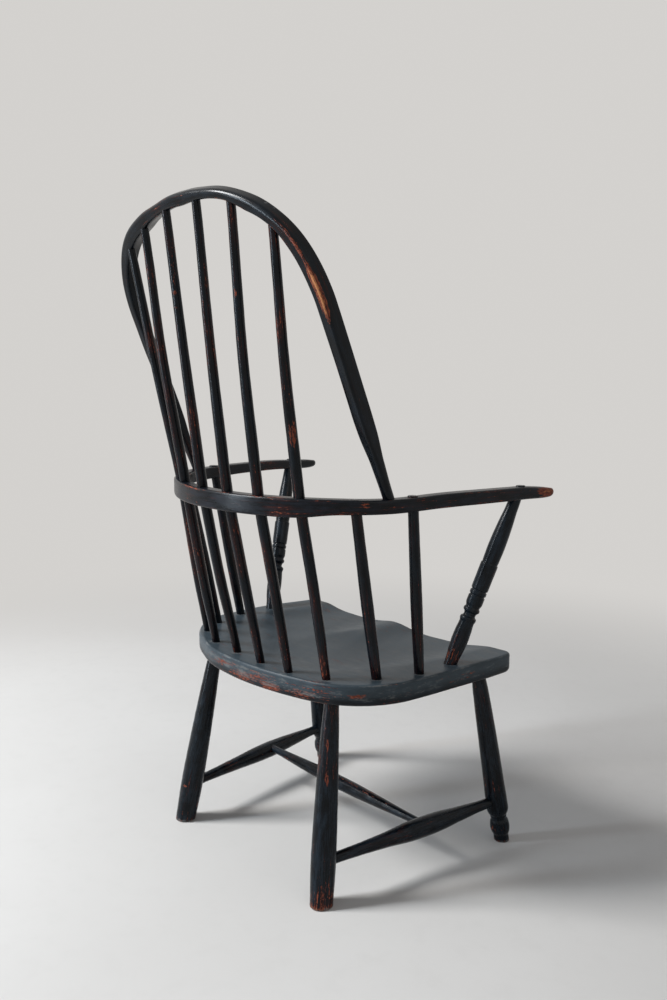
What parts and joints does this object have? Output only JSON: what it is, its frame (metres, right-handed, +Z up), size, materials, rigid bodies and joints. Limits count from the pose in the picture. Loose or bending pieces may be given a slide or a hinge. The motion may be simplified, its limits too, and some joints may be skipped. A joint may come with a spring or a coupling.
{
  "type": "windsor armchair",
  "caption": "Stick-back Windsor armchair with a bent arm bow, a bent back bow, turned arm posts and legs, and a saddled plank seat.",
  "frame": {"origin": "on the floor, under the middle of the chair's box", "axes": "+Z up, the sitter faces -Y, +X towards the sitter's left"},
  "size_m": [0.6504, 0.5477, 1.1222],
  "materials": {
    "seat_wood": "old black paint, rubbed smooth and matt",
    "bow_wood": "old black paint over red, worn to the wood along the edges",
    "stick_wood": "old black paint over red, satin",
    "turned_wood": "old black paint over red, satin, scuffed at the feet"
  },
  "bodies": {
    "root": {"seat": "seat_wood", "arm_bow": "bow_wood", "back_bow": "bow_wood", "long_stick_1": "stick_wood", "long_stick_2": "stick_wood", "long_stick_3": "stick_wood", "long_stick_4": "stick_wood", "long_stick_5": "stick_wood", "long_stick_6": "stick_wood", "short_stick_front_right": "stick_wood", "short_stick_front_left": "stick_wood", "short_stick_rear_right": "stick_wood", "short_stick_rear_left": "stick_wood", "arm_post_right": "turned_wood", "arm_post_left": "turned_wood", "leg_rear_right": "turned_wood", "leg_rear_left": "turned_wood", "leg_front_right": "turned_wood", "leg_front_left": "turned_wood", "stretcher_side_right": "turned_wood", "stretcher_side_left": "turned_wood", "stretcher_cross": "turned_wood"}
  },
  "joints": []
}
